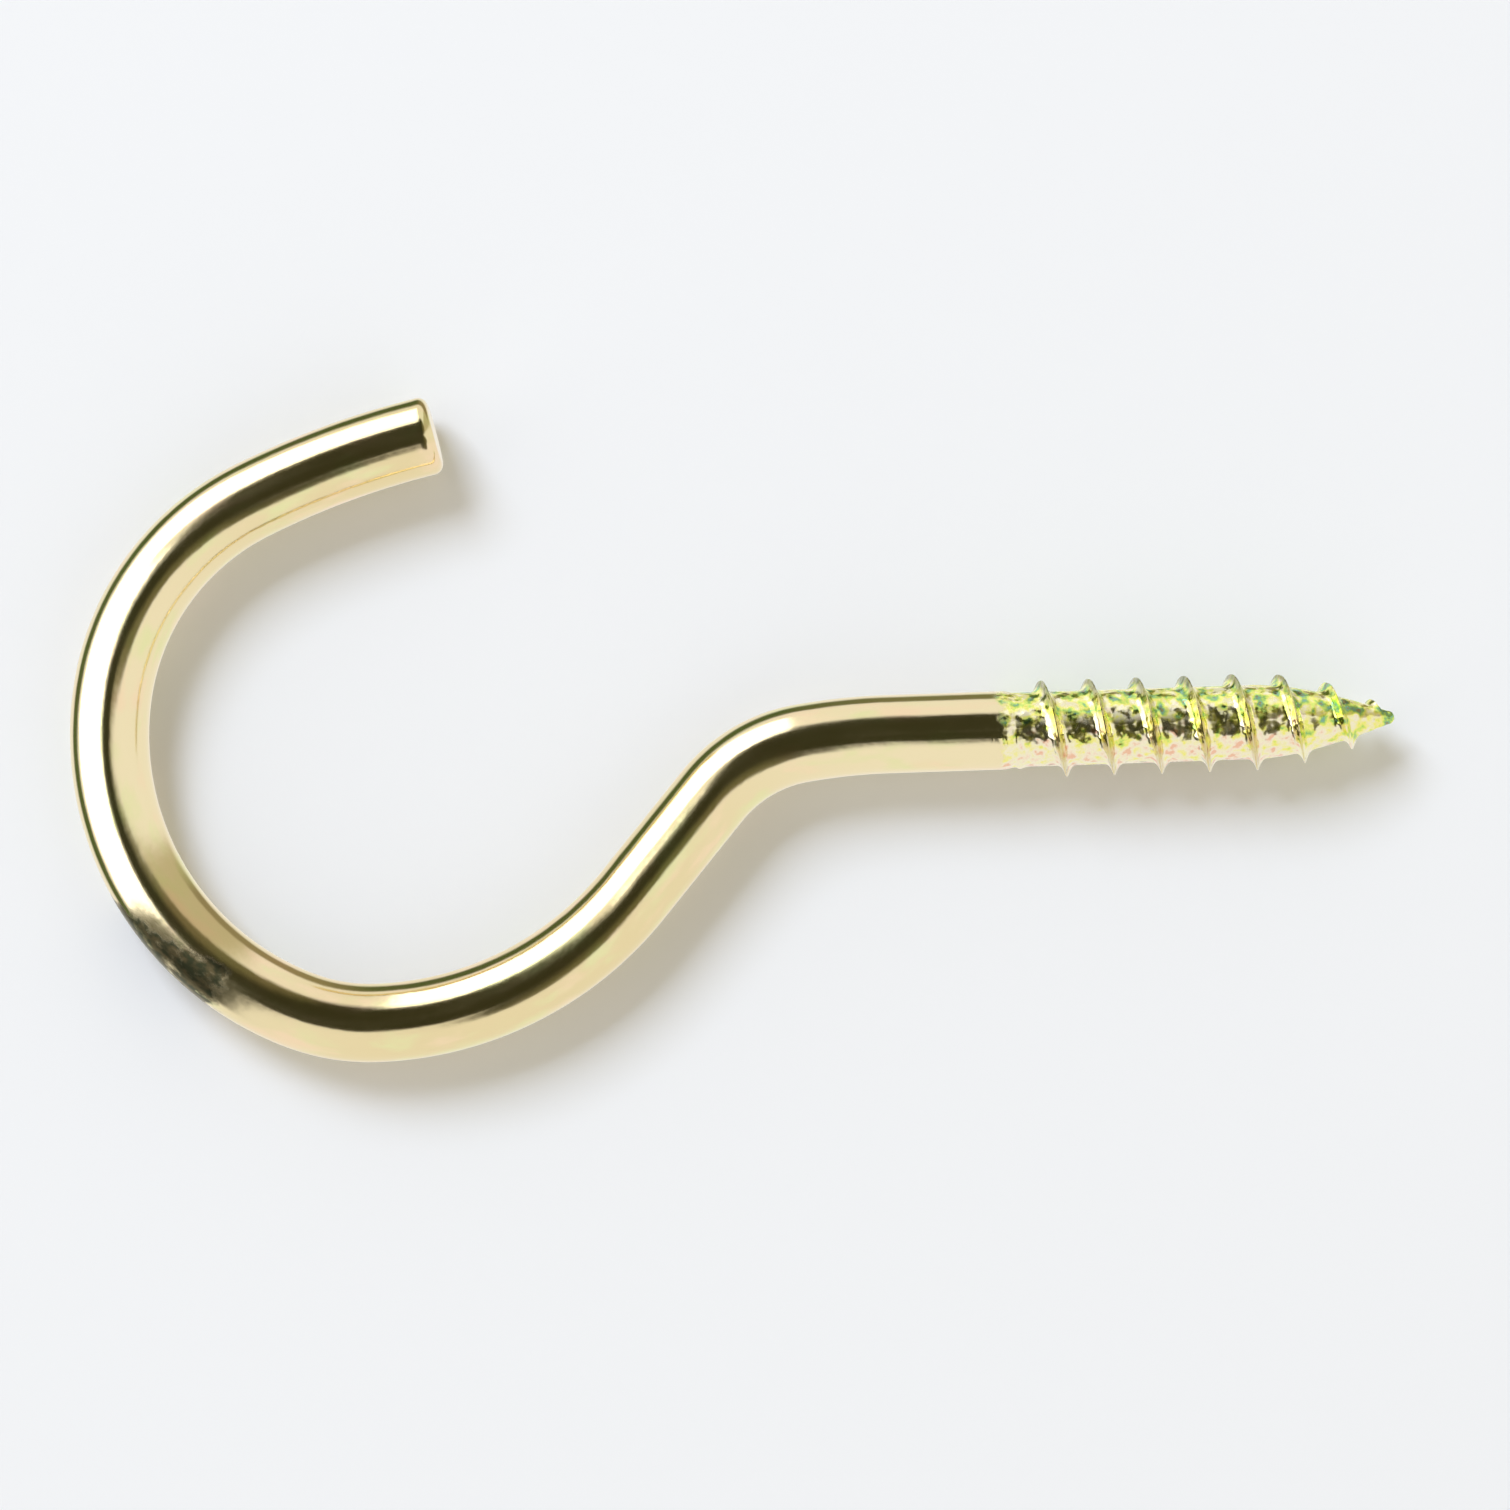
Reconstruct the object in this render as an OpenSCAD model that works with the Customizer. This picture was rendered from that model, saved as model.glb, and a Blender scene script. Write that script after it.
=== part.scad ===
// Screw-in cup hook: one length of round wire, bent to a bowl at one end
// and rolled to a pointed wood-screw thread at the other.
//
// The hook lies in the XY plane. The shank and the thread share the X axis:
// the thread starts at the origin and its point looks along +X. The wire is
// walked from there to its cut end as a chain of straight runs and bends.

/* [Wire] */
// Diameter of the wire
wire_d = 4; // [3.6:0.1:4.4]
// Rounding of the cut end's edge
cut_round = 0.5; // [0.2:0.1:0.8]

/* [Shank and neck] */
// Plain straight shank behind the thread
shank_len = 5.9; // [4:0.1:12]
// Radius of the slow bend that leaves the shank
ease_r = 31; // [20:1:40]
// Turn of the slow bend, in degrees
ease_turn = 8.3; // [4:0.1:12]
// Radius of the neck bend
neck_r = 7.5; // [6:0.1:10]
// Turn of the neck bend, in degrees
neck_turn = 41.1; // [35:0.1:46]
// Straight run between the neck and the bowl
rise_len = 6.4; // [4:0.1:9]

/* [Bowl] */
// Radius of the bend that enters the bowl
front_r = 17.5; // [15:0.1:20]
// Turn of the bend that enters the bowl, in degrees
front_turn = 49.8; // [40:0.1:56]
// Radius of the tightest bend, at the bottom of the bowl
heel_r = 10; // [8:0.1:14]
// Turn of the tightest bend, in degrees
heel_turn = 22.2; // [15:0.1:30]
// Radius of the bowl
bowl_r = 15; // [13:0.1:17]
// Turn of the bowl, in degrees
bowl_turn = 78; // [65:0.5:90]
// Radius of the bend that closes the bowl
crown_r = 13; // [11:0.1:15]
// Turn of the bend that closes the bowl, in degrees
crown_turn = 54.7; // [45:0.1:60]
// Radius of the nearly straight end
lip_r = 43; // [30:1:60]
// Turn of the nearly straight end, in degrees
lip_turn = 12; // [6:0.1:18]
// Straight stub behind the cut
stub_len = 1; // [1:0.1:4]

/* [Thread] */
// Length from the first thread to the point
thread_len = 19.9; // [17:0.1:24]
// Distance from one crest to the next
thread_pitch = 2.43; // [2:0.01:3]
// Diameter over the crests
crest_d = 5; // [4.6:0.1:5.4]
// Diameter between the crests
root_d = 3.8; // [3.2:0.1:4]
// Length of the tapered point
point_len = 7; // [5:0.1:9]
// Radius of the blunt tip
nose_r = 0.35; // [0.2:0.05:0.5]
// Width of the ridge at its foot
ridge_foot = 0.8; // [0.6:0.1:1.2]
// Width of the ridge at its crest
ridge_land = 0.1; // [0.06:0.02:0.3]

/* [Hidden] */
$fn = 64;

brass_plate = [0.86, 0.78, 0.46];

// Runs of wire behind the thread, each [length, 0] for a straight one or
// [radius, turn] for a bend. A positive turn bends to the left.
RUNS = [
    [shank_len, 0],
    [ease_r, ease_turn],
    [neck_r, neck_turn],
    [rise_len, 0],
    [front_r, -front_turn],
    [heel_r, -heel_turn],
    [bowl_r, -bowl_turn],
    [crown_r, -crown_turn],
    [lip_r, -lip_turn],
];

joint_lap = 0.15;            // every second run laps this far into its neighbours
joint_step = 0.02;           // and is this much thinner, so that the joints close
shoulder_len = 0.5;          // cone between the wire and the thread's core
taper_power = 1.6;           // how late the point narrows
taper_steps = 10;            // cones that make up the point
ridge_steps = 24;            // stations in one turn of the ridge
ridge_sink = 0.3;            // depth of the ridge's foot inside the core
crest_phase = -0.51;         // where a crest crosses +Y, behind the origin
run_in = 0.75;               // turns over which the ridge rises
run_out = 0.4;               // turns over which it fades at the point
ridge_start = 0.25;          // where the ridge leaves the core
ridge_end = thread_len - 0.5;

function heading(a) = [cos(a), sin(a)];

// Centre of a bend that starts at p with heading a
function bend_centre(run, p, a) = p + run[0] * heading(a + 90 * sign(run[1]));

function run_end(run, p, a) = run[1] == 0
    ? p + run[0] * heading(a)
    : bend_centre(run, p, a) + run[0] * heading(a - 90 * sign(run[1]) + run[1]);

// Start of run i as [place, heading], counted back from the thread
function run_start(i) = i == 0
    ? [[0, 0], 180]
    : let (s = run_start(i - 1))
      [run_end(RUNS[i - 1], s[0], s[1]), s[1] + RUNS[i - 1][1]];

// Radius of the thread's core at x: a cylinder, then a slow taper to the nose
function core_r(x) =
    let (t = max(0, (x - thread_len + point_len) / (point_len - nose_r)))
    nose_r + (root_d / 2 - nose_r) * (1 - pow(min(t, 1), taper_power));

// Share of the ridge's full height, by turns from its start and to its end
function ridge_share(i, last) =
    min(1, i / (run_in * ridge_steps), (last - i) / (run_out * ridge_steps));

// The ridge's section at station i, as four corners from foot to foot
function ridge_section(i, last) =
    let (
        x = ridge_start + thread_pitch * i / ridge_steps,
        a = 360 * (x - crest_phase) / thread_pitch,
        depth = min(ridge_sink, core_r(x + ridge_foot / 2) / 2),
        height = (crest_d - root_d) / 2 * ridge_share(i, last),
        crest = core_r(x) - depth / 2 + height * (1 + depth / (crest_d - root_d))
    )
    [for (c = [
        [-ridge_foot / 2, core_r(x - ridge_foot / 2) - depth],
        [-ridge_land / 2, crest],
        [ridge_land / 2, crest],
        [ridge_foot / 2, core_r(x + ridge_foot / 2) - depth],
    ]) [x + c[0], c[1] * cos(a), c[1] * sin(a)]];

// A straight run from the origin along +X, lapping past both its ends
module straight_run(len, d, lap) {
    translate([-lap, 0, 0])
        rotate([0, 90, 0])
            cylinder(h = len + 2 * lap, d = d);
}

// A bend from the origin, heading along +X, lapping past both its ends
module bent_run(radius, turn, d, lap) {
    side = sign(turn);
    lap_turn = lap / radius * 180 / PI;
    translate([0, side * radius, 0])
        rotate((side > 0 ? -90 : 90 + turn) - lap_turn)
            rotate_extrude(angle = abs(turn) + 2 * lap_turn)
                translate([radius, 0])
                    circle(d = d);
}

// The cut end, from the origin along +X, with its edge rounded over
module cut_end(d, lap) {
    flat_r = d / 2 - cut_round;
    rotate([0, 90, 0])
        rotate_extrude() {
            translate([0, -lap]) square([d / 2, stub_len - cut_round + lap]);
            translate([0, -lap]) square([flat_r, stub_len + lap]);
            translate([flat_r, stub_len - cut_round]) circle(r = cut_round);
        }
}

module bent_wire() {
    last = len(RUNS);
    for (i = [0 : last]) {
        s = run_start(i);
        d = wire_d - joint_step * (i % 2);
        lap = joint_lap * (i % 2);
        translate(s[0]) rotate(s[1])
            if (i == last) cut_end(d, lap);
            else if (RUNS[i][1] == 0) straight_run(RUNS[i][0], d, lap);
            else bent_run(RUNS[i][0], RUNS[i][1], d, lap);
    }
}

// Core of the thread, turned about the X axis, with a round nose
module thread_core() {
    taper_start = thread_len - point_len;
    taper_len = point_len - nose_r;
    rotate([0, 90, 0])
        rotate_extrude() {
            polygon([
                [0, -joint_lap],
                [(wire_d - joint_step) / 2, -joint_lap],
                [(wire_d - joint_step) / 2, 0],
                [root_d / 2, shoulder_len],
                for (i = [0 : taper_steps])
                    let (x = taper_start + taper_len * i / taper_steps)
                    [core_r(x), x],
                [0, taper_start + taper_len],
            ]);
            translate([0, taper_start + taper_len])
                intersection() {
                    circle(r = nose_r);
                    square(2 * nose_r);
                }
        }
}

// Right-hand ridge wound round the core
module thread_ridge() {
    last = floor((ridge_end - ridge_start) / thread_pitch * ridge_steps);
    points = [for (i = [0 : last]) each ridge_section(i, last)];
    sides = [for (i = [0 : last - 1], k = [0 : 3])
        let (a = 4 * i + k, b = 4 * i + (k + 1) % 4)
        each [[a, b, b + 4], [a, b + 4, a + 4]]];
    ends = [[3, 2, 1], [3, 1, 0], for (k = [0, 1]) [4 * last, 4 * last + k + 1, 4 * last + k + 2]];
    polyhedron(points, concat(sides, ends));
}

module hook() {
    color(brass_plate) {
        bent_wire();
        thread_core();
        thread_ridge();
    }
}

hook();
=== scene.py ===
import math

import bmesh
import bpy
from mathutils import Matrix, Vector, noise


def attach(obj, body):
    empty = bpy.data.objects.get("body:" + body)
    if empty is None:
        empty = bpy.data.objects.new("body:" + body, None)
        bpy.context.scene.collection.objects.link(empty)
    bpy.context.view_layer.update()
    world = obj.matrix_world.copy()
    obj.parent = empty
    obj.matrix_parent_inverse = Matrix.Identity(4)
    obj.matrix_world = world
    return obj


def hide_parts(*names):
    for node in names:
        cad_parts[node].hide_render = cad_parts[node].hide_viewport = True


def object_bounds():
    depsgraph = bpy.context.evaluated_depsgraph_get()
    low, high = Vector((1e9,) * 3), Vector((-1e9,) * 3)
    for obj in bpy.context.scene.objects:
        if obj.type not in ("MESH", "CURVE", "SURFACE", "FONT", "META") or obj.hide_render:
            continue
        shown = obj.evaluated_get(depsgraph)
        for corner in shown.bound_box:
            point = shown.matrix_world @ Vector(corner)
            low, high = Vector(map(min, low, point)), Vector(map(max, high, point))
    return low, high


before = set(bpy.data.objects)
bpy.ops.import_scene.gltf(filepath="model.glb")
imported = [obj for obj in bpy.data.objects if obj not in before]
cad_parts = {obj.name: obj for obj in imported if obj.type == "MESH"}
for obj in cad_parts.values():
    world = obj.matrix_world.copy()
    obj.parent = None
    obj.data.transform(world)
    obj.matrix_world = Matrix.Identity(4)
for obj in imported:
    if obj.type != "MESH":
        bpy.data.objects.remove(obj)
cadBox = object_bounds()
boxMiddle = (cadBox[0] + cadBox[1]) / 2
boxSize = cadBox[1] - cadBox[0]
mm = 0.001
samePlace = 1e-6                        # points closer than this are taken as one
print("frame loaded, the hook is", [round(side / mm, 1) for side in boxSize], "mm")


shot = {
    "lens": 100,
    "near": 0.01,                       # nothing closer is drawn
    "aside": (1.11 * mm, -1.87 * mm),   # from the middle of the hook to what it looks at
    "fieldShare": 1.1405,               # width of the view, in hook lengths
    "roll": -1.9,                       # in degrees
}


def makeCamera(s):
    data = bpy.data.cameras.new("camera")
    data.lens = s["lens"]
    data.clip_start = s["near"]
    cam = bpy.data.objects.new("camera", data)
    height = s["fieldShare"] * boxSize.x * s["lens"] / data.sensor_width
    cam.location = (boxMiddle.x + s["aside"][0], boxMiddle.y + s["aside"][1], height)
    cam.rotation_euler = (0, 0, math.radians(s["roll"]))
    bpy.context.collection.objects.link(cam)
    bpy.context.scene.camera = cam


makeCamera(shot)
bpy.context.scene.view_settings.view_transform = "Standard"
print("camera placed")


def newTree(owner):
    owner.use_nodes = True
    owner.node_tree.nodes.clear()
    return owner.node_tree


def addNode(tree, kind, **settings):
    made = tree.nodes.new(kind)
    for name, value in settings.items():
        setattr(made, name, value)
    return made


def feed(tree, socket, value):
    if isinstance(value, bpy.types.NodeSocket):
        tree.links.new(value, socket)
    else:
        socket.default_value = value


def axesOf(tree, vector):
    split = addNode(tree, "ShaderNodeSeparateXYZ")
    tree.links.new(vector, split.inputs[0])
    return split.outputs


def maths(tree, operation, *values):
    made = addNode(tree, "ShaderNodeMath", operation=operation)
    for socket, value in zip(made.inputs, values):
        feed(tree, socket, value)
    return made.outputs[0]


def sumOfSquares(tree, a, b):
    return maths(tree, "ADD", maths(tree, "MULTIPLY", a, a), maths(tree, "MULTIPLY", b, b))


def ramped(tree, value, low, high, toLow=0.0, toHigh=1.0):
    made = addNode(tree, "ShaderNodeMapRange", interpolation_type="SMOOTHSTEP")
    for socket, entry in zip(made.inputs, (value, low, high, toLow, toHigh)):
        feed(tree, socket, entry)
    return made.outputs[0]


def between(tree, value, low, high, soft):
    rise = ramped(tree, value, low - soft, low + soft)
    fall = ramped(tree, value, high - soft, high + soft, 1.0, 0.0)
    return maths(tree, "MULTIPLY", rise, fall)


def mixed(tree, share, first, second):
    made = addNode(tree, "ShaderNodeMix", data_type="RGBA")
    feed(tree, made.inputs["Factor"], share)
    for name, colour in (("A", first), ("B", second)):
        socket = [s for s in made.inputs if s.name == name and s.type == "RGBA"][0]
        feed(tree, socket, colour if isinstance(colour, bpy.types.NodeSocket) else (*colour, 1))
    return [s for s in made.outputs if s.type == "RGBA"][0]


# A pale table beside two tall windows, with a dark ceiling over the hook. The world is laid out flat,
# as a chrome ball shows it from straight above: the zenith in the middle, the table at the rim.
# Bearings are in degrees from +X, reaches in radii of the ball, and soft is for these two in turn.
room = {
    "paper": (0.864, 0.876, 0.917),
    "fill": (0.94, 0.92, 0.87),
    "paperFill": (0.97, 0.90, 0.76),    # what the table gets of it, warm from the metal
    "dark": (0.034, 0.033, 0.012),
    # dark ceiling as ellipses that run together, each with its middle and half size
    "ceiling": [((0.02, 0.22), (0.20, 0.215)), ((0.03, -0.10), (0.21, 0.10)),
                ((0.10, -0.21), (0.08, 0.14)), ((-0.035, 0.02), (0.075, 0.10))],
    "ceilingFade": (0.70, 1.40),
    "dusk": (0.15, 0.14, 0.065),        # its far side, and a paler patch in it
    "duskReach": (0.03, 0.14),
    "patch": ((0.16, 0.0), (0.10, 0.06)),
    "patchFade": (0.3, 1.2),
    "patchShade": (0.27, 0.25, 0.15),
    "corner": (0.13, 0.12, 0.08),
    "cornerTurn": (211, 221),           # over these bearings it goes from this colour to dark
    "gap": (208, 232),                  # the corner, beside the windows
    "gapReach": (0.10, 0.75),
    "gapSoft": (3.0, 0.06),
    "dim": (0.55, 0.50, 0.35),
    "dimWall": (25, 57),
    "dimReach": (0.20, 0.93),
    "dimSoft": (4.0, 0.05),
    "edge": (0.09, 0.125, 0.045),
    "warmEdge": (0.30, 0.26, 0.15),
    "edgeTurn": (70, 105),              # from the warm colour to the other
    "rim": (35, 214),                   # edge of the table
    "rimReach": (0.808, 0.935),
    "rimSoft": (6.0, 0.022),
    "rimDrop": 0.05,                    # on the windows' side
    "rimDropTurn": (90, 150),
    "windowLight": 1.55,                # what the metal shows of the windows
    "windowAway": 1.0,                  # in metres
    # bearing that each window faces from, its two sides from there, its height in metres
    "windows": [(190, -45, 17, 3.2), (125, -24, 20, 1.15)],
    "keyTowards": (-0.625, 0.90, 1.0),  # light that casts the shadow
    "keyAway": 2.0,
    "keySize": 0.84,
    "keyShare": 0.44,                   # of the light on the open table
    "keyColour": (0.91, 1.02, 1.20),
    "floorHalf": 6,                     # metres from the middle to the edge
    "floorParts": 8,
    "floorTouch": 3 * mm,               # first crest that rests on it
}


def spot(tree, place, middle, half, full, gone):
    # 1 inside an ellipse, fading to 0 outside it
    parts = [maths(tree, "DIVIDE", maths(tree, "SUBTRACT", side, centre), size)
             for side, centre, size in zip(place, middle, half)]
    return ramped(tree, sumOfSquares(tree, *parts), full, gone, 1.0, 0.0)


def sector(tree, bearing, out, turn, reach, soft):
    # 1 between two bearings and two distances from the zenith
    inTurn = between(tree, bearing, *turn, soft[0])
    return maths(tree, "MULTIPLY", inTurn, between(tree, out, *reach, soft[1]))


def makeWorld(r):
    world = bpy.data.worlds.new("room")
    bpy.context.scene.world = world
    tree = newTree(world)
    x, y, z = axesOf(tree, addNode(tree, "ShaderNodeTexCoord").outputs["Generated"])
    lean = maths(tree, "MAXIMUM", maths(tree, "MULTIPLY_ADD", z, 2.0, 2.0), 0.0001)     # never 0
    lean = maths(tree, "SQRT", lean)
    u, v = [maths(tree, "DIVIDE", side, lean) for side in (x, y)]
    out = maths(tree, "SQRT", sumOfSquares(tree, u, v))
    bearing = maths(tree, "DEGREES", maths(tree, "ARCTAN2", v, u))
    bearing = maths(tree, "FLOORED_MODULO", bearing, 360.0)

    ceiling = 0.0
    for middle, half in r["ceiling"]:
        ceiling = maths(tree, "ADD", ceiling, spot(tree, (u, v), middle, half, *r["ceilingFade"]))
    ceiling = maths(tree, "MINIMUM", ceiling, 1.0)
    shade = mixed(tree, ramped(tree, u, *r["duskReach"]), r["dark"], r["dusk"])
    shade = mixed(tree, spot(tree, (u, v), *r["patch"], *r["patchFade"]), shade, r["patchShade"])
    gap = sector(tree, bearing, out, r["gap"], r["gapReach"], r["gapSoft"])
    wall = sector(tree, bearing, out, r["dimWall"], r["dimReach"], r["dimSoft"])
    sunk = maths(tree, "MULTIPLY_ADD", ramped(tree, bearing, *r["rimDropTurn"]), r["rimDrop"], out)
    rim = sector(tree, bearing, sunk, r["rim"], r["rimReach"], r["rimSoft"])
    edge = mixed(tree, ramped(tree, bearing, *r["edgeTurn"]), r["warmEdge"], r["edge"])
    corner = mixed(tree, ramped(tree, bearing, *r["cornerTurn"]), r["corner"], r["dark"])

    rays = addNode(tree, "ShaderNodeLightPath").outputs
    colour = mixed(tree, rays["Is Diffuse Ray"], r["fill"], r["paperFill"])
    colour = mixed(tree, wall, colour, r["dim"])
    colour = mixed(tree, gap, colour, corner)
    colour = mixed(tree, ceiling, colour, shade)
    colour = mixed(tree, rim, colour, edge)
    colour = mixed(tree, rays["Is Camera Ray"], colour, r["paper"])
    back = addNode(tree, "ShaderNodeBackground")
    tree.links.new(colour, back.inputs["Color"])
    end = addNode(tree, "ShaderNodeOutputWorld")
    tree.links.new(back.outputs[0], end.inputs["Surface"])


def makeLamp(name, light, size, place, turn):
    data = bpy.data.lights.new(name, "AREA")
    data.shape = "RECTANGLE"
    data.size, data.size_y = size
    data.energy = light * math.pi * size[0] * size[1]
    lamp = bpy.data.objects.new(name, data)
    lamp.location = place
    lamp.rotation_euler = turn
    lamp.visible_camera = False
    bpy.context.collection.objects.link(lamp)
    return lamp


def makeLamps(r):
    for i, (facing, fromSide, toSide, high) in enumerate(r["windows"]):
        left, right = [r["windowAway"] * math.tan(math.radians(side)) for side in (fromSide, toSide)]
        facing = math.radians(facing)
        middle = Vector((r["windowAway"], (left + right) / 2, high / 2))
        window = makeLamp(f"window{i}", r["windowLight"], (right - left, high),
                          Matrix.Rotation(facing, 3, "Z") @ middle,
                          (math.pi / 2, 0, facing + math.pi / 2))
        window.visible_diffuse = False
    towards = Vector(r["keyTowards"]).normalized()
    share = (r["keySize"] / r["keyAway"]) ** 2 / math.pi * towards.z
    key = makeLamp("key", r["keyShare"] / share, (r["keySize"], r["keySize"]),
                   towards * r["keyAway"], towards.to_track_quat("Z", "Y").to_euler())
    key.data.color = r["keyColour"]
    key.visible_glossy = False


def makeFloor(r, w, t):
    bm = bmesh.new()
    bmesh.ops.create_grid(bm, x_segments=r["floorParts"], y_segments=r["floorParts"], size=r["floorHalf"])
    mesh = bpy.data.meshes.new("floor")
    bm.to_mesh(mesh)
    bm.free()
    floor = bpy.data.objects.new("floor", mesh)
    drop = (t["crest"] - w["diameter"]) / 2     # the wire lies lower than the thread does
    floor.location = (r["floorTouch"], 0, -t["crest"] / 2)
    floor.rotation_euler = (0, math.atan2(drop, r["floorTouch"] - cadBox[0].x), 0)
    floor.visible_glossy = False                # the world draws the table for the metal
    bpy.context.collection.objects.link(floor)
    paper = bpy.data.materials.new("paper")
    tree = newTree(paper)
    shader = addNode(tree, "ShaderNodeBsdfDiffuse")
    shader.inputs["Color"].default_value = (*r["paper"], 1)
    end = addNode(tree, "ShaderNodeOutputMaterial")
    tree.links.new(shader.outputs[0], end.inputs["Surface"])
    mesh.materials.append(paper)


wire = {
    "diameter": 4.0 * mm,
    "sides": 96,
    "ringGap": 0.25 * mm,
    "lead": 0.25 * mm,                  # joins the wire to the thread
    "endRound": 0.5 * mm,
    "endSteps": 6,
    "endInsets": (0.15, 0.25, 0.30),    # rings in the flat of the cut, in its radii
    # from the thread back to the cut end: length and 0, or radius and turn
    "runs": [(5.9, 0), (31, 8.3), (7.5, 41.1), (6.4, 0), (17.5, -49.8),
             (10, -22.2), (15, -78), (13, -54.7), (43, -12), (1, 0)],
    "sharpOver": 38,                    # edges that turn by more degrees than this stay crisp
}

thread = {
    "length": 19.9 * mm,
    "pitch": 2.43 * mm,
    "crest": 4.95 * mm,
    "root": 3.8 * mm,
    "shoulder": 0.5 * mm,
    "point": 7.0 * mm,
    "pointPower": 1.6,
    "nose": 0.35 * mm,
    "noseSteps": 5,
    "steps": 96,                        # a turn
    "firstCrest": -0.51 * mm,
    "riseFrom": 0.25 * mm,
    "riseOver": 1.8 * mm,
    "fadeFrom": 19.4 * mm,
    "fadeOver": 1.0 * mm,
    "land": 0.06 * mm,
    "foot": 1.3 * mm,                   # the flanks run out slowly into the valley
    "flankPower": 3.4,
    "flankSteps": 14,
    "valleySteps": 5,
    "uneven": 0.015 * mm,               # rolled crests are never quite true, and seldom too high
    "unevenMiddle": 0.4,
    "unevenGrain": 0.9 * mm,
}

scuff = {
    "from": 44.4 * mm,                  # along the wire, where it was gripped for bending
    "to": 53.0 * mm,
    "fade": 3 * mm,
    "depth": 0.003 * mm,
    "grain": 0.7 * mm,
    "upTo": 0.5,                        # in wire radii from the middle towards the inside
    "side": 1.3 * mm,                   # how far the dark patch reaches round the wire at its start and how fast it draws back to the outside
    "slant": 0.36,                      # and how fast it draws back to the outside
}


def runLength(run):
    size, turn = run
    return size * mm * (abs(math.radians(turn)) if turn else 1)


def smoothStep(value):
    value = min(1, max(0, value))
    return value * value * (3 - 2 * value)


def coreRadius(x, w, t):
    full = t["root"] / 2
    if x < t["shoulder"]:
        return full + (w["diameter"] / 2 - full) * (1 - max(0, x / t["shoulder"]))
    gone = (x - t["length"] + t["point"]) / (t["point"] - t["nose"])
    return t["nose"] + (full - t["nose"]) * (1 - min(1, max(0, gone)) ** t["pointPower"])


def vertsIn(geom):
    return [g for g in geom if isinstance(g, bmesh.types.BMVert)]


def openLoop(bm, x):
    return [e for e in bm.edges if e.is_boundary and all(abs(v.co.x - x) < samePlace for v in e.verts)]


def roundEnd(bm, x, side, outer, radius, steps, insets=()):
    # extruded and drawn in a step at a time, then capped
    edges = openLoop(bm, x)
    flat = outer - radius
    last = 0
    for i in range(1, steps + 1):
        angle = math.pi / 2 * i / (steps if flat > 0 else steps + 1)
        grown = bmesh.ops.extrude_edge_only(bm, edges=edges)["geom"]
        verts = vertsIn(grown)
        step = side * radius * (math.sin(angle) - math.sin(last))
        squeeze = (flat + radius * math.cos(angle)) / (flat + radius * math.cos(last))
        bmesh.ops.translate(bm, verts=verts, vec=(step, 0, 0))
        bmesh.ops.scale(bm, verts=verts, vec=(1, squeeze, squeeze))
        edges = [g for g in grown if isinstance(g, bmesh.types.BMEdge) and g.is_boundary]
        last = angle
    cap = bmesh.ops.contextual_create(bm, geom=edges)["faces"]
    for share in insets:
        bmesh.ops.inset_region(bm, faces=cap, thickness=flat * share)
    bmesh.ops.poke(bm, faces=cap)


def ridgeOutline(t):
    # from the crest to the middle of the valley and mirrored: place along the axis, share of the height
    land, foot = t["land"] / 2, t["foot"] / 2
    side = []
    for i in range(t["flankSteps"] + 1):
        place = land + (foot - land) * i / t["flankSteps"]
        out = (place - land) / (foot - land)
        side.append((place, max(0, 1 - out) ** t["flankPower"]))
    for i in range(t["valleySteps"]):
        side.append((foot + (t["pitch"] / 2 - foot) * (i + 1) / t["valleySteps"], 0))
    return [(-place, high) for place, high in reversed(side)] + side


def makeThread(bm, w, t):
    root = t["root"] / 2
    ridge = (t["crest"] - t["root"]) / 2
    start = t["firstCrest"] - t["pitch"]
    verts = [bm.verts.new((start + place, root + high * ridge, 0)) for place, high in ridgeOutline(t)]
    edges = [bm.edges.new(pair) for pair in zip(verts, verts[1:])]
    bmesh.ops.spin(bm, geom=verts + edges, cent=(0, 0, 0), axis=(1, 0, 0), angle=math.tau,
                   dvec=(t["pitch"] / t["steps"], 0, 0), steps=t["steps"])
    turn = bm.verts[:] + bm.edges[:] + bm.faces[:]
    for i in range(1, math.ceil((t["length"] - start) / t["pitch"]) + 1):
        copied = bmesh.ops.duplicate(bm, geom=turn)["geom"]
        bmesh.ops.translate(bm, verts=vertsIn(copied), vec=(i * t["pitch"], 0, 0))
    bmesh.ops.remove_doubles(bm, verts=bm.verts, dist=samePlace)
    for v in bm.verts:
        x, r = v.co.x, math.hypot(v.co.y, v.co.z)
        rise = smoothStep((x - t["riseFrom"]) / t["riseOver"])
        share = rise * smoothStep((t["fadeFrom"] - x) / t["fadeOver"])
        high = (r - root) * share
        wobble = (noise.noise(v.co / t["unevenGrain"]) - t["unevenMiddle"]) * t["uneven"] * share
        squeeze = (coreRadius(x, w, t) + high + wobble) / r
        v.co.y *= squeeze
        v.co.z *= squeeze
    noseAt = t["length"] - t["nose"]
    for x, side in ((0, 1), (noseAt, -1)):
        bmesh.ops.bisect_plane(bm, geom=bm.verts[:] + bm.edges[:] + bm.faces[:], dist=samePlace / 10,
                               plane_co=(x, 0, 0), plane_no=(side, 0, 0), clear_inner=True)
    roundEnd(bm, noseAt, 1, t["nose"], t["nose"], t["noseSteps"])


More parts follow.
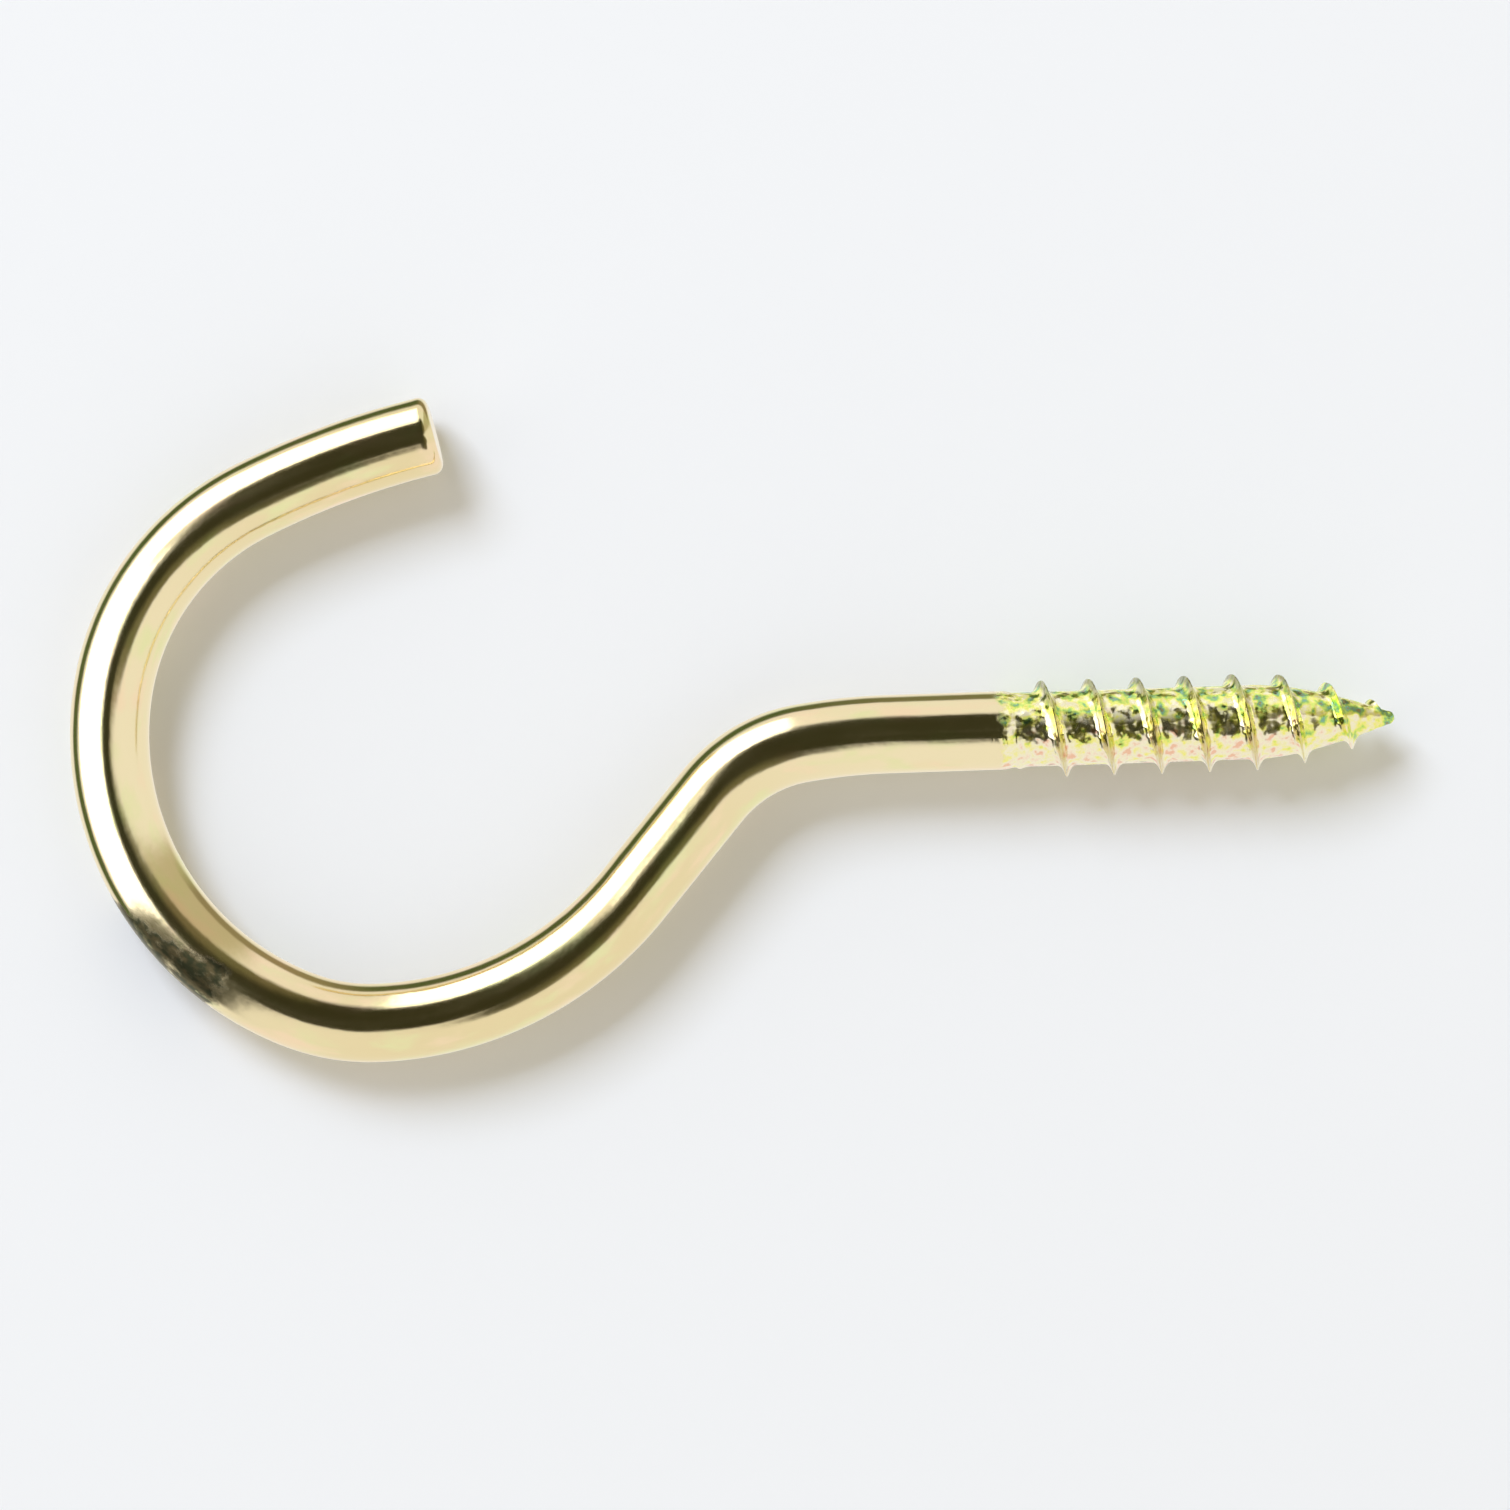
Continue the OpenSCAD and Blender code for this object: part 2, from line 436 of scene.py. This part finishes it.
def makeWire(bm, w):
    length = sum(map(runLength, w["runs"])) - w["lead"] - w["endRound"]
    facing = Matrix.Translation((-w["lead"], 0, 0)) @ Matrix.Rotation(math.pi / 2, 4, "Y")
    radius = w["diameter"] / 2
    bmesh.ops.create_circle(bm, radius=radius, segments=w["sides"], matrix=facing)
    grown = bmesh.ops.extrude_edge_only(bm, edges=[e for e in bm.edges if e.is_wire])["geom"]
    bmesh.ops.translate(bm, verts=vertsIn(grown), vec=(-length, 0, 0))
    sides = [e for e in bm.edges if abs(e.calc_length() - length) < samePlace]
    bmesh.ops.subdivide_edges(bm, edges=sides, cuts=round(length / w["ringGap"]) - 1)
    roundEnd(bm, -w["lead"] - length, -1, radius, w["endRound"], w["endSteps"], w["endInsets"])


def wireFrameAt(left, w):
    # where the straight wire's axis goes once bent, and which way its +Y then looks
    place, heading = Vector((max(0, -left), 0, 0)), math.pi
    for i, (size, turn) in enumerate(w["runs"]):
        length = runLength((size, turn))
        part = max(left, 0) if i == len(w["runs"]) - 1 else min(max(left, 0), length)
        if turn == 0:
            place += part * Vector((math.cos(heading), math.sin(heading), 0))
        else:
            side = math.copysign(size * mm, turn)
            middle = place + side * Vector((-math.sin(heading), math.cos(heading), 0))
            place = middle + Matrix.Rotation(part / side, 3, "Z") @ (place - middle)
            heading += part / side
        left -= length
        if left <= 0:
            break
    return place, Vector((math.sin(heading), -math.cos(heading), 0))


def bendWire(bm, w):
    known = {}                          # worked out once for each ring
    for v in bm.verts:
        along = round(-v.co.x / mm, 4)
        if along not in known:
            known[along] = wireFrameAt(-v.co.x, w)
        place, outward = known[along]
        v.co = place + outward * v.co.y + Vector((0, 0, v.co.z))


def scuffWire(bm, w, s):
    for v in bm.verts:
        x, y, z = v.co
        inside = smoothStep((-x - s["from"]) / s["fade"]) * smoothStep((s["to"] + x) / s["fade"])
        outer = smoothStep(s["upTo"] - y / (w["diameter"] / 2))
        if inside * outer > 0:
            dent = abs(noise.noise(v.co / s["grain"])) * s["depth"] * inside * outer
            squeeze = 1 - 2 * dent / w["diameter"]
            v.co = (x, y * squeeze, z * squeeze)


def makeHook(w, t, s):
    bm = bmesh.new()
    makeThread(bm, w, t)
    makeWire(bm, w)
    scuffWire(bm, w, s)
    bmesh.ops.bridge_loops(bm, edges=openLoop(bm, 0) + openLoop(bm, -w["lead"]))
    straight = bm.verts.layers.float_vector.new("straight")     # for the plating, which follows the wire
    for v in bm.verts:
        v[straight] = v.co
    bendWire(bm, w)
    bmesh.ops.recalc_face_normals(bm, faces=bm.faces)
    for face in bm.faces:
        face.smooth = True
    for edge in bm.edges:
        edge.smooth = edge.calc_face_angle(0) < math.radians(w["sharpOver"])
    print("open edges:", sum(e.is_boundary for e in bm.edges), "faces:", len(bm.faces),
          "triangles:", sum(len(f.verts) - 2 for f in bm.faces))
    mesh = bpy.data.meshes.new("wireHook")
    bm.to_mesh(mesh)
    bm.free()
    hook = bpy.data.objects.new("wireHook", mesh)
    bpy.context.collection.objects.link(hook)
    return hook


# The plating, its film on the thread, and a dark mottled patch on the outside of the bowl. A pair that
# ends in From is the range of grain over which a fleck comes in, and one that ends in Side is a range
# across the hook.
plate = {
    "gold": (0.91, 0.80, 0.53),
    "deepGold": (0.85, 0.72, 0.43),
    "wave": 9.1 * mm,                   # the plating's depth comes and goes along the wire
    "greenish": (0.84, 0.82, 0.46),
    "greenishGrain": 1.4 * mm,
    "greenishFrom": (0.48, 0.72),
    "rosy": (0.95, 0.76, 0.52),
    "rosyGrain": 1.7 * mm,
    "rosyFrom": (0.50, 0.72),
    "tintStretch": 2.5,
    "roughness": 0.13,
    "cloud": 0.08,                      # from the brightest to the dullest place
    "cloudGrain": 0.8 * mm,
    "cloudStretch": 4.0,
    "drawBump": 0.0012 * mm,            # lines left by drawing the wire
    "drawGrain": 0.12 * mm,
    "drawStretch": 30.0,
    "rippleBump": 0.007 * mm,
    "rippleGrain": 0.6 * mm,
    "rippleStretch": 2.0,
}

film = {
    # from rose through yellow and green to teal: each fleck takes one
    "colours": [(0.00, (0.90, 0.52, 0.38)), (0.10, (0.96, 0.80, 0.64)), (0.26, (0.95, 0.90, 0.70)),
                (0.45, (0.94, 0.90, 0.48)), (0.58, (0.93, 0.90, 0.18)), (0.70, (0.62, 0.84, 0.14)),
                (0.82, (0.26, 0.56, 0.12)), (0.92, (0.12, 0.42, 0.36)), (1.00, (0.24, 0.24, 0.08))],
    "grain": 0.55 * mm,
    "spread": 2.0,
    "middle": 0.42,
    "lean": 0.11 / mm,                  # greener towards one side
    "tip": 0.16,                        # and towards the point
    "tipReach": (12 * mm, 18 * mm),
    "share": 0.85,
    "start": (0.20 * mm, 0.80 * mm),    # ragged where it meets the plain wire
    "startGrain": 0.5 * mm,
    "startRagged": 1.4 * mm,
    "crestGold": (0.66, 0.57, 0.26),
    # crests towards the upper side turn dark: a painted dark reflection along that edge
    "crestPaintedReflection": (0.12, 0.14, 0.06),
    "paintedReflectionSide": (1.3 * mm, 2.1 * mm),
    "crestHigh": (0.15 * mm, 0.40 * mm),
    "crestShare": 0.8,
    "powder": 0.6,                      # share of the flecks that is dull, on the greener side
    "powderSide": (0.1 * mm, 0.6 * mm),
    "powderGrain": 0.5 * mm,
    "powderFrom": (0.42, 0.56),
    "roughness": 0.16,
    "bump": 0.14 * mm,
    "bumpGrain": 0.7 * mm,
}

# a dark, duller, mottled patch on the outside of the bowl's bend, over part of the scuff
darkPatch = {
    "dark": (0.040, 0.052, 0.025),
    "brown": (0.145, 0.115, 0.055),
    "brownGrain": 0.4 * mm,
    "brownFrom": (0.38, 0.66),
    "stretch": 1.5,
    "share": 0.96,
    "startIn": 0.3 * mm,                # it is shorter than the scuff, with soft ends
    "endIn": 0.8 * mm,
    "soft": 1.2 * mm,
    "sideOut": 0.2 * mm,
    "sideIn": 0.8 * mm,
    "grain": 0.45 * mm,
    "cover": 0.75,                      # weight of its place against that of its grain
    "coverFrom": (0.90, 1.25),
    "roughness": 0.30,
    "bump": 0.004 * mm,
}


def grained(tree, place, grain, detail=2.0, stretch=1.0, shift=0.0):
    # noise drawn out along the wire, and shifted so that no two are alike
    moved = addNode(tree, "ShaderNodeMapping")
    feed(tree, moved.inputs["Vector"], place)
    moved.inputs["Scale"].default_value = (1 / grain / stretch, 1 / grain, 1 / grain)
    moved.inputs["Location"].default_value = (shift, shift, shift)
    made = addNode(tree, "ShaderNodeTexNoise")
    feed(tree, made.inputs["Vector"], moved.outputs[0])
    made.inputs["Scale"].default_value = 1.0
    made.inputs["Detail"].default_value = detail
    return made.outputs[0]


def goldColour(tree, straight, p):
    back = maths(tree, "MULTIPLY", axesOf(tree, straight)[0], -1.0)
    depth = maths(tree, "COSINE", maths(tree, "DIVIDE", back, p["wave"]))
    colour = mixed(tree, ramped(tree, depth, -1.0, 1.0), p["deepGold"], p["gold"])
    tint = grained(tree, straight, p["greenishGrain"], 3.0, p["tintStretch"])
    colour = mixed(tree, ramped(tree, tint, *p["greenishFrom"]), colour, p["greenish"])
    tint = grained(tree, straight, p["rosyGrain"], 3.0, p["tintStretch"], shift=7.0)
    return mixed(tree, ramped(tree, tint, *p["rosyFrom"]), colour, p["rosy"])


def filmColour(tree, straight, f, t):
    x, y, z = axesOf(tree, straight)
    ramp = addNode(tree, "ShaderNodeValToRGB")
    while len(ramp.color_ramp.elements) < len(f["colours"]):
        ramp.color_ramp.elements.new(0.5)
    for stop, (place, shade) in zip(ramp.color_ramp.elements, f["colours"]):
        stop.position = place
        stop.color = (*shade, 1)
    chance = maths(tree, "SUBTRACT", grained(tree, straight, f["grain"], 3.0, shift=5.0), 0.5)
    chance = maths(tree, "MULTIPLY_ADD", chance, f["spread"], f["middle"])
    chance = maths(tree, "ADD", chance, ramped(tree, x, *f["tipReach"], 0.0, f["tip"]))
    feed(tree, ramp.inputs[0], maths(tree, "MULTIPLY_ADD", y, f["lean"], chance))
    radius = maths(tree, "SQRT", sumOfSquares(tree, y, z))
    onCrest = ramped(tree, radius, *[t["root"] / 2 + high for high in f["crestHigh"]])
    # the crests' upper side is mixed to a painted dark reflection
    crest = mixed(tree, ramped(tree, y, *f["paintedReflectionSide"]), f["crestGold"], f["crestPaintedReflection"])
    return mixed(tree, maths(tree, "MULTIPLY", onCrest, f["crestShare"]), ramp.outputs[0], crest)


def filmCover(tree, straight, f):
    edge = grained(tree, straight, f["startGrain"])
    edge = maths(tree, "MULTIPLY_ADD", edge, f["startRagged"], axesOf(tree, straight)[0])
    return ramped(tree, edge, *f["start"])


def darkPatchCover(tree, straight, k, s):
    x, y = axesOf(tree, straight)[:2]
    back = maths(tree, "MULTIPLY", x, -1.0)
    along = between(tree, back, s["from"] + k["startIn"], s["to"] - k["endIn"], k["soft"])
    side = maths(tree, "MULTIPLY_ADD", maths(tree, "SUBTRACT", back, s["from"]), s["slant"], y)
    outer = ramped(tree, side, s["side"] + k["sideOut"], s["side"] - k["sideIn"])
    mottle = grained(tree, straight, k["grain"], 5.0, k["stretch"])
    cover = maths(tree, "MULTIPLY_ADD", maths(tree, "MULTIPLY", along, outer), k["cover"], mottle)
    return ramped(tree, cover, *k["coverFrom"])


def darkPatchColour(tree, straight, k):
    blotch = grained(tree, straight, k["brownGrain"], 5.0, k["stretch"], shift=3.0)
    return mixed(tree, ramped(tree, blotch, *k["brownFrom"]), k["dark"], k["brown"])


def platedSteel(p, f, k, t, s):
    made = bpy.data.materials.new("brassPlate")
    tree = newTree(made)
    straight = addNode(tree, "ShaderNodeAttribute", attribute_name="straight").outputs["Vector"]
    onThread = filmCover(tree, straight, f)
    darkened = darkPatchCover(tree, straight, k, s)
    filmShare = maths(tree, "MULTIPLY", onThread, f["share"])
    darkPatchShare = maths(tree, "MULTIPLY", darkened, k["share"])
    colour = mixed(tree, filmShare, goldColour(tree, straight, p), filmColour(tree, straight, f, t))
    # the bowl's outside goes dark and mottled over part of the scuff
    colour = mixed(tree, darkPatchShare, colour, darkPatchColour(tree, straight, k))

    # dull flecks, the metal's share in them is smaller
    powderSide = ramped(tree, axesOf(tree, straight)[1], *f["powderSide"])
    powder = maths(tree, "MULTIPLY", onThread, powderSide)
    fleck = grained(tree, straight, f["powderGrain"], 3.0, shift=23.0)
    powder = maths(tree, "MULTIPLY", powder, ramped(tree, fleck, *f["powderFrom"]))
    metal = maths(tree, "MULTIPLY_ADD", powder, -f["powder"], 1.0)

    cloud = grained(tree, straight, p["cloudGrain"], 4.0, p["cloudStretch"], shift=11.0)
    gloss = maths(tree, "MULTIPLY_ADD", cloud, p["cloud"], p["roughness"] - p["cloud"] / 2)
    for cover, layer in ((onThread, f), (darkened, k)):
        duller = maths(tree, "MULTIPLY", cover, layer["roughness"] - p["roughness"])
        gloss = maths(tree, "ADD", gloss, duller)

    # surface height, in metres
    lines = grained(tree, straight, p["drawGrain"], 2.0, p["drawStretch"])
    lines = maths(tree, "MULTIPLY", lines, p["drawBump"])
    ripples = grained(tree, straight, p["rippleGrain"], 2.0, p["rippleStretch"], shift=17.0)
    ripples = maths(tree, "MULTIPLY", ripples, p["rippleBump"])
    rolled = maths(tree, "SUBTRACT", grained(tree, straight, f["bumpGrain"], 1.0), 0.5)
    rolled = maths(tree, "MULTIPLY", rolled, onThread)
    rough = maths(tree, "MULTIPLY", grained(tree, straight, k["grain"], 3.0), darkened)
    height = maths(tree, "MULTIPLY_ADD", rolled, f["bump"], maths(tree, "ADD", lines, ripples))
    height = maths(tree, "MULTIPLY_ADD", rough, k["bump"], height)
    bump = addNode(tree, "ShaderNodeBump")
    bump.inputs["Distance"].default_value = 1.0
    bump.inputs["Strength"].default_value = 1.0
    tree.links.new(height, bump.inputs["Height"])

    shader = addNode(tree, "ShaderNodeBsdfPrincipled")
    tree.links.new(metal, shader.inputs["Metallic"])
    tree.links.new(colour, shader.inputs["Base Color"])
    tree.links.new(gloss, shader.inputs["Roughness"])
    tree.links.new(bump.outputs[0], shader.inputs["Normal"])
    end = addNode(tree, "ShaderNodeOutputMaterial")
    tree.links.new(shader.outputs[0], end.inputs["Surface"])
    return made


makeWorld(room)
makeLamps(room)
makeFloor(room, wire, thread)
print("room lit")

hook = makeHook(wire, thread, scuff)
hook.data.materials.append(platedSteel(plate, film, darkPatch, thread, scuff))
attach(hook, "root")
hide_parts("hook")
print("hook made")
